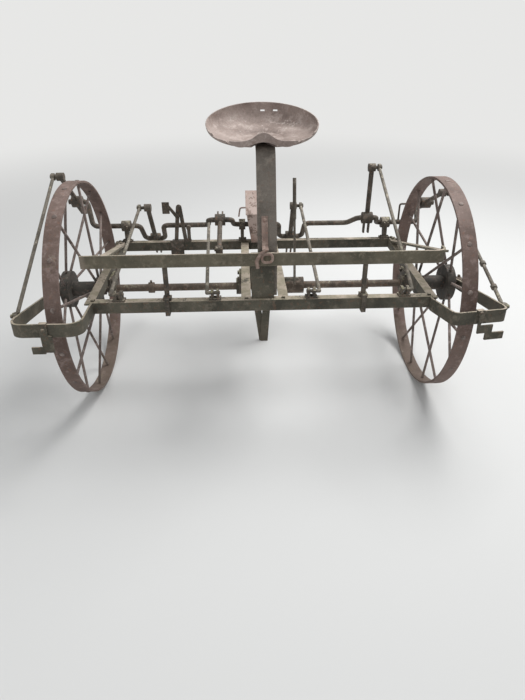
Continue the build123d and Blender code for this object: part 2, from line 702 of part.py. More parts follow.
# Lever arch: a flat bar bent over the crankshaft into a narrow arch on the rear beam, with a pedal plate on an arm
# and a latch post beside it.
arch_x = -405.0
arch_y = rear_edge + 4
arch_top = 763.0
arch_thick = 8.0
arch_wide = 20.0
crown_radius = 15.0
with BuildPart() as lever_arch:
    block((arch_x - 50, arch_x + 52), (rear_edge, rear_edge + 30), (frame_top, frame_top + arch_thick))
    block((arch_x - 59, arch_x + 11), (rear_edge - arch_thick, rear_edge), (frame_top - 64, frame_top + arch_thick))
    crown = (arch_x - 2, arch_top - crown_radius)
    for foot_x, way in ((arch_x - 28, -1), (arch_x + 23, 1)):
        leg = [
            (foot_x - arch_wide / 2, frame_top + 4),
            (foot_x + arch_wide / 2, frame_top + 4),
            (crown[0] + way * 5 + arch_wide / 2, crown[1]),
            (crown[0] + way * 5 - arch_wide / 2, crown[1]),
        ]
        slab(Plane.XZ.offset(-arch_y - arch_thick), leg, arch_thick)
    bar((crown[0], arch_y, crown[1]), (crown[0], arch_y + arch_thick, crown[1]), crown_radius)
    arm = [
        (arch_x - 18, arch_top - 70),
        (arch_x - 6, arch_top - 58),
        (arch_x - 50, arch_top - 2),
        (arch_x - 60, arch_top - 12),
    ]
    slab(Plane.XZ.offset(-arch_y), arm, arch_thick)
    block((arch_x - 86, arch_x - 49), (arch_y - 15, arch_y - arch_thick), (arch_top - 43, arch_top + 16))
    block((arch_x + 33, arch_x + 51), (arch_y, arch_y + arch_thick), (frame_top + 4, frame_top + 86))
    bar((arch_x + 42, arch_y - 8, frame_top + 76), (arch_x + 42, arch_y + 16, frame_top + 76), 12)
lever_arch.part = lean(lever_arch.part)
lever_arch.part.label = "lever_arch"
export_step(lever_arch.part, "parts/lever_arch.step")

# Drive case: a narrow painted hood over the drive at the middle of the crankshaft, open below, that leans in
# towards its foot. A sloping lid with a bent latch rod closes its front top corner.
case_across = (-54.0, 20.0)
case_foot_x = -30.0
case_y = (412.0, 548.0)
case_foot = frame_top + seat_gap
case_front_top = 716.0
case_top = 814.0
case_wall = 4.0
case_plan = [
    (case_y[0], case_foot),
    (case_y[1], case_foot),
    (case_y[1], case_top - 40),
    (case_y[0] + 94, case_top),
    (case_y[0], case_front_top),
]
case_face = [
    (case_foot_x, case_foot - 1),
    (case_across[1], case_foot - 1),
    (case_across[1], case_top + 1),
    (case_across[0], case_top + 1),
    (case_across[0], case_front_top),
]
lid_run = Vector(0, case_plan[3][0] - case_plan[4][0], case_plan[3][1] - case_plan[4][1])
lid_plane = Plane(
    origin=(case_across[0] - case_wall, *case_plan[4]), x_dir=(1, 0, 0), z_dir=Vector(1, 0, 0).cross(lid_run)
)
with BuildPart() as drive_case:
    slab(Plane.YZ.offset(case_across[0]), case_plan, case_across[1] - case_across[0])
    slab(Plane.XZ.offset(-case_y[1] - 1), case_face, case_y[1] - case_y[0] + 2, mode=Mode.INTERSECT)
    bottom = drive_case.faces().sort_by(Axis.Z)[0]
    offset(amount=-case_wall, openings=bottom)
    lid_long = lid_run.length + case_wall
    lid_across = case_across[1] - case_across[0] + 2 * case_wall
    slab(lid_plane, [(0, -case_wall), (lid_across, -case_wall), (lid_across, lid_long), (0, lid_long)], case_wall)
    latch = [(case_across[0] + 2, 460, 741), (-87, 460, 740), (-95, 460, 694)]
    bent_bar(latch, 4, 10)
    bore_in, bore_out = (case_across[0] - 5, crank_y, crank_z), (case_across[1] + 5, crank_y, crank_z)
    bar(bore_in, bore_out, crank_radius + 4, mode=Mode.SUBTRACT)
drive_case.part = lean(drive_case.part)
drive_case.part.label = "drive_case"
export_step(drive_case.part, "parts/drive_case.step")

# Drive sprocket: a toothed wheel keyed on the axle between the centre members.
sprocket_x = (-24.0, -14.0)
sprocket_radius = 118.0
sprocket_teeth = 24
with BuildPart() as drive_sprocket:
    ring(sprocket_x, 0, wheel_radius, sprocket_radius, 0)
    ring((sprocket_x[0] - 16, sprocket_x[1] + 16), 0, wheel_radius, axle_radius + 18, 0)
    with BuildSketch(Plane(origin=(sprocket_x[0], 0, wheel_radius), z_dir=(1, 0, 0))) as teeth:
        with PolarLocations(sprocket_radius + 4, sprocket_teeth):
            Trapezoid(17, 12, 70, rotation=-90)
    extrude(teeth.sketch, amount=sprocket_x[1] - sprocket_x[0])
    with BuildSketch(Plane(origin=(sprocket_x[0], 0, wheel_radius), z_dir=(1, 0, 0))) as holes:
        with PolarLocations(74, 5):
            Circle(24)
    extrude(holes.sketch, amount=sprocket_x[1] - sprocket_x[0], mode=Mode.SUBTRACT)
    across = (sprocket_x[0] - 20, sprocket_x[1] + 20)
    ring(across, 0, wheel_radius, axle_radius + running_gap, 0, mode=Mode.SUBTRACT)
drive_sprocket.part = lean(drive_sprocket.part)
drive_sprocket.part.label = "drive_sprocket"
export_step(drive_sprocket.part, "parts/drive_sprocket.step")

# Rear leg: a cross plate under the centre members and two flat bars, one before the other, that meet low down.
# Their columns: middle at the top, middle at the ground, width, and how far the face stands behind the front one.
turn = math.radians(lean_deg)
foot_y, foot_z = 280.0, 0.0
foot_at = (
    foot_y * math.cos(turn) - (foot_z - wheel_radius) * math.sin(turn),
    wheel_radius + foot_y * math.sin(turn) + (foot_z - wheel_radius) * math.cos(turn),
)
up = (-math.sin(turn), math.cos(turn))
leg_y = 340.0
leg_thick = 8.0
leg_top = member_top - angle_wide
leg_bars = [(-44.0, 24.0, 38.0, leg_thick), (66.0, 30.0, 42.0, 0.0)]
with BuildPart() as rear_leg:
    block((centre_left, centre_right), (leg_y - 20, leg_y + 20), (leg_top - leg_thick, leg_top))
    leg_run = Vector(0, leg_y - foot_at[0], leg_top - foot_at[1])
    front_face = leg_run.cross(Vector(1, 0, 0)).normalized() * -1
    for top_x, low_x, wide, behind in leg_bars:
        start = Vector(0, leg_y, leg_top - leg_thick / 2) - front_face * behind
        leg_plane = Plane(origin=start, x_dir=(1, 0, 0), z_dir=front_face)
        share = 1 + 20 / leg_run.length
        end_x = top_x + (low_x - top_x) * share
        down = -leg_run.length * share
        outline = [
            (top_x - wide / 2, 0),
            (top_x + wide / 2, 0),
            (end_x + wide / 2, down),
            (end_x - wide / 2, down),
        ]
        slab(leg_plane, outline, leg_thick)
    with BuildSketch(Plane(origin=(20, *foot_at), x_dir=(1, 0, 0), z_dir=(0, *up))) as under_face:
        Rectangle(300, 300)
    extrude(under_face.sketch, amount=-60, mode=Mode.SUBTRACT)
rear_leg.part = lean(rear_leg.part)
rear_leg.part.label = "rear_leg"
export_step(rear_leg.part, "parts/rear_leg.step")

# Wheels: a flat steel rim, and a hub with its round spokes, which go in turn to the inner flange and to the drum.
# Each wheel stands turned by its own angle, and the drum has the first of its spokes.
rim_inner = wheel_radius - rim_thick
wheel_turns = {"left": 11.14, "right": 29.14}
drum_inset = 8.0
drum_wide = 36.0
spoke_roots = [
    {"x": hub_outer - drum_inset - drum_wide / 2, "radius": drum_radius - 8},
    {"x": hub_inner + flange_thick / 2, "radius": flange_radius - 10},
]
for side, name in ((-1, "left"), (1, "right")):
    with BuildPart() as rim:
        tread = (side * (rim_centre - rim_width / 2), side * (rim_centre + rim_width / 2))
        ring(tread, 0, wheel_radius, wheel_radius, 0)
        bar((tread[0], 0, wheel_radius), (tread[1], 0, wheel_radius), rim_inner, mode=Mode.SUBTRACT)
    rim.part = lean(rim.part)
    rim.part.label = f"rim_{name}"
    export_step(rim.part, f"parts/rim_{name}.step")

    with BuildPart() as hub:
        inner, outer = side * hub_inner, side * hub_outer
        ring((inner, outer), 0, wheel_radius, hub_radius, 0)
        ring((inner, inner + side * flange_thick), 0, wheel_radius, flange_radius, 0)
        ring((outer - side * (drum_inset + drum_wide), outer - side * drum_inset), 0, wheel_radius, drum_radius, 0)
        ring((outer - side * (drum_inset + 4), outer), 0, wheel_radius, drum_radius - 16, 0)
        for k in range(spoke_count):
            angle = math.radians(wheel_turns[name] + k * 360 / spoke_count)
            root = spoke_roots[k % 2]
            near = root["radius"]
            start = (side * root["x"], near * math.cos(angle), wheel_radius + near * math.sin(angle))
            slant = abs(root["x"] - rim_centre) / (rim_inner - near)
            reach = rim_inner - seat_gap - spoke_radius * slant
            end = (side * rim_centre, reach * math.cos(angle), wheel_radius + reach * math.sin(angle))
            bar(start, end, spoke_radius)
        across = (inner - side * 2, outer + side * 2)
        ring(across, 0, wheel_radius, axle_radius + running_gap, 0, mode=Mode.SUBTRACT)
    hub.part = lean(hub.part)
    hub.part.label = f"hub_{name}"
    export_step(hub.part, f"parts/hub_{name}.step")
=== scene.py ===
import math

import bpy
import numpy as np
from mathutils import Matrix, Vector


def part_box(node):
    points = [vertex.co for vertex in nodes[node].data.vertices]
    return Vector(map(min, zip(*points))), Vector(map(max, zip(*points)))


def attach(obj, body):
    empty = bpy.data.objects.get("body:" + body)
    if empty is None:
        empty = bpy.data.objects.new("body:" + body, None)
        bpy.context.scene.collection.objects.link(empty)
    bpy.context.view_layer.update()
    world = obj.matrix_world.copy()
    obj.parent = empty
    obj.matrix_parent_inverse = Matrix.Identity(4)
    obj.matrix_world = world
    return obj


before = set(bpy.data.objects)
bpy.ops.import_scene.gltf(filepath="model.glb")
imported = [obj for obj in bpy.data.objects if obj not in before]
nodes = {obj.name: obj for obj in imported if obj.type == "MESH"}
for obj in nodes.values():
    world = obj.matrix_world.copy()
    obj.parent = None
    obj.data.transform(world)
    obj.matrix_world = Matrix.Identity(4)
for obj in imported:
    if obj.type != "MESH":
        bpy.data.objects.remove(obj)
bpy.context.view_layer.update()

rimLow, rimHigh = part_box("rim_left")
wheelRadius = (rimHigh[2] - rimLow[2]) / 2
axleBack = (rimHigh[1] + rimLow[1]) / 2
rimMiddle = -(rimHigh[0] + rimLow[0]) / 2
print("loaded", len(nodes), "solids")

# The camera that the photograph was taken with, in metres and degrees. Its focal length is in the photograph's
# pixels. The sensor's width, in millimetres, serves only to turn that into Blender's own focal length.
photoCamera = {
    "place": (-0.0686, -2.2633, 1.559),
    "down": 33.27,
    "turn": 2.1,
    "roll": -0.14,
    "focalPixels": 515.0,
    "longSidePixels": 700.0,
    "sensorWidth": 36.0,
    "farthest": 60.0,
}


def makeCamera(spec):
    # The camera looks along +Y, turned by "turn" about Z, tipped by "down" and rolled about its line of sight.
    down, turn, roll = (math.radians(spec[key]) for key in ("down", "turn", "roll"))
    forward = Vector((math.sin(turn) * math.cos(down), math.cos(turn) * math.cos(down), -math.sin(down)))
    level = Vector((math.cos(turn), -math.sin(turn), 0))
    upright = level.cross(forward)
    right = math.cos(roll) * level + math.sin(roll) * upright
    up = -math.sin(roll) * level + math.cos(roll) * upright
    data = bpy.data.cameras.new("photoCamera")
    data.sensor_width = spec["sensorWidth"]
    data.lens = spec["sensorWidth"] * spec["focalPixels"] / spec["longSidePixels"]
    data.clip_end = spec["farthest"]
    camera = bpy.data.objects.new("photoCamera", data)
    axes = Matrix((right, up, -forward)).transposed().to_4x4()
    camera.matrix_world = Matrix.Translation(spec["place"]) @ axes
    bpy.context.scene.collection.objects.link(camera)
    bpy.context.scene.camera = camera


makeCamera(photoCamera)
print("camera placed")

# Small helpers for shader nodes. All but the first two give back the socket that the next node reads.
def addNode(tree, kind, **settings):
    node = tree.nodes.new(kind)
    for key, value in settings.items():
        setattr(node, key, value)
    return node


def join(tree, source, target):
    # A socket is linked, and a plain number or colour is written on the target.
    if hasattr(source, "is_output"):
        tree.links.new(source, target)
    else:
        target.default_value = source


def calc(tree, operation, *values):
    node = addNode(tree, "ShaderNodeMath", operation=operation)
    for value, socket in zip(values, node.inputs):
        join(tree, value, socket)
    return node.outputs[0]


def cloud(tree, vector, scale, detail=4.0, rough=0.55, bend=0.0):
    node = addNode(tree, "ShaderNodeTexNoise")
    join(tree, vector, node.inputs["Vector"])
    node.inputs["Scale"].default_value = scale
    node.inputs["Detail"].default_value = detail
    node.inputs["Roughness"].default_value = rough
    node.inputs["Distortion"].default_value = bend
    return node.outputs["Fac"]


def step(tree, value, start, end):
    # Goes smoothly from 0 at the start to 1 at the end. The start may be the larger of the two.
    node = addNode(tree, "ShaderNodeMapRange", interpolation_type="SMOOTHSTEP")
    join(tree, value, node.inputs["Value"])
    join(tree, start, node.inputs["From Min"])
    join(tree, end, node.inputs["From Max"])
    return node.outputs["Result"]


def blend(tree, share, first, second, kind="MIX"):
    node = addNode(tree, "ShaderNodeMix", data_type="RGBA", blend_type=kind)
    join(tree, share, node.inputs[0])
    join(tree, first, node.inputs[6])
    join(tree, second, node.inputs[7])
    return node.outputs[2]


def stretch(tree, vector, scale):
    node = addNode(tree, "ShaderNodeVectorMath", operation="SCALE")
    join(tree, vector, node.inputs[0])
    join(tree, scale, node.inputs["Scale"])
    return node.outputs[0]


# Soft light from a large lamp overhead, a weaker one in front and a pale world. Seen by the camera or in a
# reflection, the floor fades into the world's colour between two distances from the machine.
studio = {
    "floorColor": (0.66, 0.66, 0.65, 1),
    "floorRough": 0.9,
    "floorHalf": 30.0,
    "fadeNear": 1.8,
    "fadeFar": 6.5,
    "farColor": (0.80, 0.80, 0.79, 1),
    "worldColor": (0.86, 0.88, 0.90, 1),
    "worldStrength": 0.52,
    "lampAim": (0, 0, 0.6),
    "lamps": [
        {"name": "keyLamp", "place": (1.9, 1.2, 4.4), "size": 2.6, "power": 225},
        {"name": "frontLamp", "place": (-2.2, -3.4, 3.0), "size": 3.0, "power": 36},
    ],
}


def seenRays(tree):
    # 1 for rays that come from the camera, a mirror or a glass.
    path = addNode(tree, "ShaderNodeLightPath").outputs
    mirrored = calc(tree, "MAXIMUM", path["Is Glossy Ray"], path["Is Transmission Ray"])
    return calc(tree, "MAXIMUM", path["Is Camera Ray"], mirrored)


def makeStudio(spec):
    # A flat floor at Z = 0, square lamps aimed at the middle of the machine, and an even world.
    half = spec["floorHalf"]
    mesh = bpy.data.meshes.new("floor")
    corners = [(-half, -half, 0), (half, -half, 0), (half, half, 0), (-half, half, 0)]
    mesh.from_pydata(corners, [], [(0, 1, 2, 3)])
    floor = bpy.data.objects.new("floor", mesh)
    bpy.context.scene.collection.objects.link(floor)
    paint = bpy.data.materials.new("floorPaint")
    paint.use_nodes = True
    tree = paint.node_tree
    shader = tree.nodes["Principled BSDF"]
    shader.inputs["Base Color"].default_value = spec["floorColor"]
    shader.inputs["Roughness"].default_value = spec["floorRough"]
    distance = addNode(tree, "ShaderNodeVectorMath", operation="LENGTH")
    join(tree, addNode(tree, "ShaderNodeTexCoord").outputs["Object"], distance.inputs[0])
    far = step(tree, distance.outputs["Value"], spec["fadeNear"], spec["fadeFar"])
    glow = addNode(tree, "ShaderNodeEmission")
    glow.inputs["Color"].default_value = spec["farColor"]
    mixed = addNode(tree, "ShaderNodeMixShader")
    join(tree, calc(tree, "MULTIPLY", far, seenRays(tree)), mixed.inputs[0])
    join(tree, shader.outputs[0], mixed.inputs[1])
    join(tree, glow.outputs[0], mixed.inputs[2])
    join(tree, mixed.outputs[0], tree.nodes["Material Output"].inputs["Surface"])
    mesh.materials.append(paint)
    for lamp in spec["lamps"]:
        light = bpy.data.lights.new(lamp["name"], "AREA")
        light.size = lamp["size"]
        light.energy = lamp["power"]
        holder = bpy.data.objects.new(lamp["name"], light)
        holder.location = lamp["place"]
        aim = Vector(spec["lampAim"]) - Vector(lamp["place"])
        holder.rotation_euler = aim.to_track_quat("-Z", "Y").to_euler()
        bpy.context.scene.collection.objects.link(holder)
    world = bpy.data.worlds.new("paleWorld")
    world.use_nodes = True
    tree = world.node_tree
    lit = tree.nodes["Background"]
    lit.inputs["Color"].default_value = spec["worldColor"]
    lit.inputs["Strength"].default_value = spec["worldStrength"]
    shown = addNode(tree, "ShaderNodeBackground")
    shown.inputs["Color"].default_value = spec["farColor"]
    mixed = addNode(tree, "ShaderNodeMixShader")
    join(tree, seenRays(tree), mixed.inputs[0])
    join(tree, lit.outputs[0], mixed.inputs[1])
    join(tree, shown.outputs[0], mixed.inputs[2])
    join(tree, mixed.outputs[0], tree.nodes["World Output"].inputs["Surface"])
    bpy.context.scene.world = world
    bpy.context.scene.view_settings.view_transform = "Standard"


makeStudio(studio)
print("studio lit")

# Shader groups, each made from its own dictionary. It holds the settings of the noises, the two edges between
# which a step goes from 0 to 1, and gains, which are a factor and what is added after it.
socketKinds = {"vector": "NodeSocketVector", "color": "NodeSocketColor", "number": "NodeSocketFloat"}


def newGroup(name, inputs, outputs):
    # A shader group with named sockets: inputs are (label, kind), outputs the same.
    group = bpy.data.node_groups.new(name, "ShaderNodeTree")
    for label, kind in inputs:
        group.interface.new_socket(name=label, in_out="INPUT", socket_type=socketKinds[kind])
    for label, kind in outputs:
        group.interface.new_socket(name=label, in_out="OUTPUT", socket_type=socketKinds[kind])
    return group, group.nodes.new("NodeGroupInput").outputs, group.nodes.new("NodeGroupOutput").inputs


rustSkin = {
    "broad": {"scale": 7, "detail": 5, "rough": 0.6, "bend": 0.4},
    "patch": {"scale": 31, "detail": 6, "rough": 0.68},
    "grain": {"scale": 190, "detail": 3, "rough": 0.6},
    "spots": {"scale": 74, "detail": 2, "rough": 0.5},
    "pitScale": 260,
    "pitEdges": (0.05, 0.45),
    "middleEdges": (0.36, 0.62),
    "brightEdges": (0.49, 0.68),
    "brightShare": 0.75,
    "fleckEdges": (0.60, 0.68),
    "shadeGain": (0.7, 0.62),
    "roughGain": (0.30, 0.58),
    "patchRise": 0.6,
    "grainRise": 0.30,
    "pitRise": 0.16,
}


def makeRustSkin(spec):
    # Broad shades of rust, patches of lighter rust on them, orange flecks, fine grain and pits.
    group, given, out = newGroup(
        "rustSkin",
        [("Place", "vector"), ("Scale", "number"), ("Dark", "color"), ("Middle", "color"), ("Bright", "color"),
         ("Fleck", "color"), ("Fleck Share", "number")],
        [("Color", "color"), ("Roughness", "number"), ("Height", "number")],
    )
    place = stretch(group, given["Place"], given["Scale"])
    broad, patch, grain, spots = (
        cloud(group, place, **spec[key]) for key in ("broad", "patch", "grain", "spots")
    )
    pits = addNode(group, "ShaderNodeTexVoronoi")
    join(group, place, pits.inputs["Vector"])
    pits.inputs["Scale"].default_value = spec["pitScale"]
    pit = step(group, pits.outputs["Distance"], *spec["pitEdges"])
    color = blend(group, step(group, broad, *spec["middleEdges"]), given["Dark"], given["Middle"])
    lighter = calc(group, "MULTIPLY", step(group, patch, *spec["brightEdges"]), spec["brightShare"])
    color = blend(group, lighter, color, given["Bright"])
    fleck = calc(group, "MULTIPLY", step(group, spots, *spec["fleckEdges"]), given["Fleck Share"])
    color = blend(group, fleck, color, given["Fleck"])
    shade = calc(group, "MULTIPLY_ADD", grain, *spec["shadeGain"])
    color = blend(group, 1.0, color, shade, "MULTIPLY")
    join(group, color, out["Color"])
    join(group, calc(group, "MULTIPLY_ADD", patch, *spec["roughGain"]), out["Roughness"])
    fineRise = calc(group, "MULTIPLY", grain, spec["grainRise"])
    rise = calc(group, "MULTIPLY_ADD", patch, spec["patchRise"], fineRise)
    join(group, calc(group, "MULTIPLY_ADD", pit, spec["pitRise"], rise), out["Height"])
    return group


lichenCover = {
    "blotch": {"scale": 11, "detail": 6, "rough": 0.7, "bend": 0.6},
    "crust": {"scale": 90, "detail": 5, "rough": 0.7},
    "hue": {"scale": 17, "detail": 4},
    "upwardEdges": (0.25, 0.8),
    "blotchShare": 0.55,
    "crustShare": 0.45,
    "growthGain": (-0.34, 0.67),
    "softness": 0.07,
    "hueEdges": (0.42, 0.60),
    "shadeGain": (0.8, 0.58),
    "crustFoot": 0.4,
}


def makeLichenCover(spec):
    # Pale crusts in blotches with a broken edge: many on faces that look up, and a thinner growth on every face.
    # The extra paleness on faces that look up is partly painted sunlight.
    group, given, out = newGroup(
        "lichenCover",
        [("Place", "vector"), ("Facing", "vector"), ("Pale", "color"), ("Green", "color"), ("Top", "number"),
         ("Sides", "number")],
        [("Mask", "number"), ("Color", "color"), ("Height", "number")],
    )
    split = addNode(group, "ShaderNodeSeparateXYZ")
    join(group, given["Facing"], split.inputs[0])
    upward = step(group, split.outputs["Z"], *spec["upwardEdges"])
    blotch, crust, hue = (cloud(group, given["Place"], **spec[key]) for key in ("blotch", "crust", "hue"))
    spread = calc(group, "MULTIPLY", blotch, spec["blotchShare"])
    field = calc(group, "MULTIPLY_ADD", crust, spec["crustShare"], spread)
    topEdge, sideEdge = (
        calc(group, "MULTIPLY_ADD", given[key], *spec["growthGain"]) for key in ("Top", "Sides")
    )
    # On faces that look up the lichen is thicker; that extra paleness is partly painted sunlight.
    onTopLichenAndSun, onSides = (
        step(group, field, edge, calc(group, "ADD", edge, spec["softness"])) for edge in (topEdge, sideEdge)
    )
    mask = calc(group, "MAXIMUM", calc(group, "MULTIPLY", onTopLichenAndSun, upward), onSides)
    color = blend(group, step(group, hue, *spec["hueEdges"]), given["Pale"], given["Green"])
    shade = calc(group, "MULTIPLY_ADD", crust, *spec["shadeGain"])
    join(group, mask, out["Mask"])
    join(group, blend(group, 1.0, color, shade, "MULTIPLY"), out["Color"])
    join(group, calc(group, "MULTIPLY", mask, calc(group, "ADD", crust, spec["crustFoot"])), out["Height"])
    return group


edgeWear = {
    "samples": 6,
    "turnedEdges": (0.99, 0.86),
    "chips": {"scale": 45, "detail": 5, "rough": 0.7},
    "chipEdges": (0.38, 0.58),
}


def makeEdgeWear(spec):
    # Where the rounded normal turns away from the face's own normal there is an edge, broken up by noise.
    group, given, out = newGroup(
        "edgeWear",
        [("Place", "vector"), ("Facing", "vector"), ("Reach", "number")],
        [("Mask", "number"), ("Rounded", "vector")],
    )
    bevel = addNode(group, "ShaderNodeBevel", samples=spec["samples"])
    join(group, given["Reach"], bevel.inputs["Radius"])
    turned = addNode(group, "ShaderNodeVectorMath", operation="DOT_PRODUCT")
    join(group, bevel.outputs[0], turned.inputs[0])
    join(group, given["Facing"], turned.inputs[1])
    edge = step(group, turned.outputs["Value"], *spec["turnedEdges"])
    chips = step(group, cloud(group, given["Place"], **spec["chips"]), *spec["chipEdges"])
    join(group, calc(group, "MULTIPLY", edge, chips), out["Mask"])
    join(group, bevel.outputs[0], out["Rounded"])
    return group


groundSplash = {
    "spatter": {"scale": 23, "detail": 6, "rough": 0.7},
    "heightGain": (-0.5, 0.78),
    "softness": 0.14,
}


def makeSplash(spec):
    # Dried mud and dust that thin out with height above the ground.
    group, given, out = newGroup(
        "groundSplash", [("Place", "vector"), ("Reach", "number")], [("Mask", "number")],
    )
    split = addNode(group, "ShaderNodeSeparateXYZ")
    join(group, given["Place"], split.inputs[0])
    low = step(group, split.outputs["Z"], given["Reach"], 0.0)
    spatter = cloud(group, given["Place"], **spec["spatter"])
    edge = calc(group, "MULTIPLY_ADD", low, *spec["heightGain"])
    join(group, step(group, spatter, edge, calc(group, "ADD", edge, spec["softness"])), out["Mask"])
    return group


peelingPaint = {
    "wide": {"scale": 16, "detail": 5, "rough": 0.6, "bend": 0.8},
    "fine": {"scale": 120, "detail": 4, "rough": 0.65},
    "fade": {"scale": 9, "detail": 4},
    "wideShare": 0.65,
    "fineShare": 0.35,
    "leftGain": (-0.36, 0.68),
    "softness": 0.012,
    "lipWidth": 0.05,
    "fadeEdges": (0.35, 0.65),
}


def makePeelingPaint(spec):
    # Paint that has gone in ragged patches: a soft field and a fine one are added, and a threshold cuts them.
    group, given, out = newGroup(
        "peelingPaint",
        [("Place", "vector"), ("Left", "number")],
        [("Mask", "number"), ("Lip", "number"), ("Fade", "number")],
    )
    wide, fine, fade = (cloud(group, given["Place"], **spec[key]) for key in ("wide", "fine", "fade"))
    soft = calc(group, "MULTIPLY", wide, spec["wideShare"])
    field = calc(group, "MULTIPLY_ADD", fine, spec["fineShare"], soft)
    edge = calc(group, "MULTIPLY_ADD", given["Left"], *spec["leftGain"])
    mask, inner = (
        step(group, field, edge, calc(group, "ADD", edge, spec[key])) for key in ("softness", "lipWidth")
    )
    join(group, mask, out["Mask"])
    join(group, calc(group, "SUBTRACT", mask, inner), out["Lip"])
    join(group, step(group, fade, *spec["fadeEdges"]), out["Fade"])
    return group


groups = {
    "rustSkin": makeRustSkin(rustSkin),
    "lichenCover": makeLichenCover(lichenCover),
    "edgeWear": makeEdgeWear(edgeWear),
    "groundSplash": makeSplash(groundSplash),
    "peelingPaint": makePeelingPaint(peelingPaint),
}
print("shader groups ready")
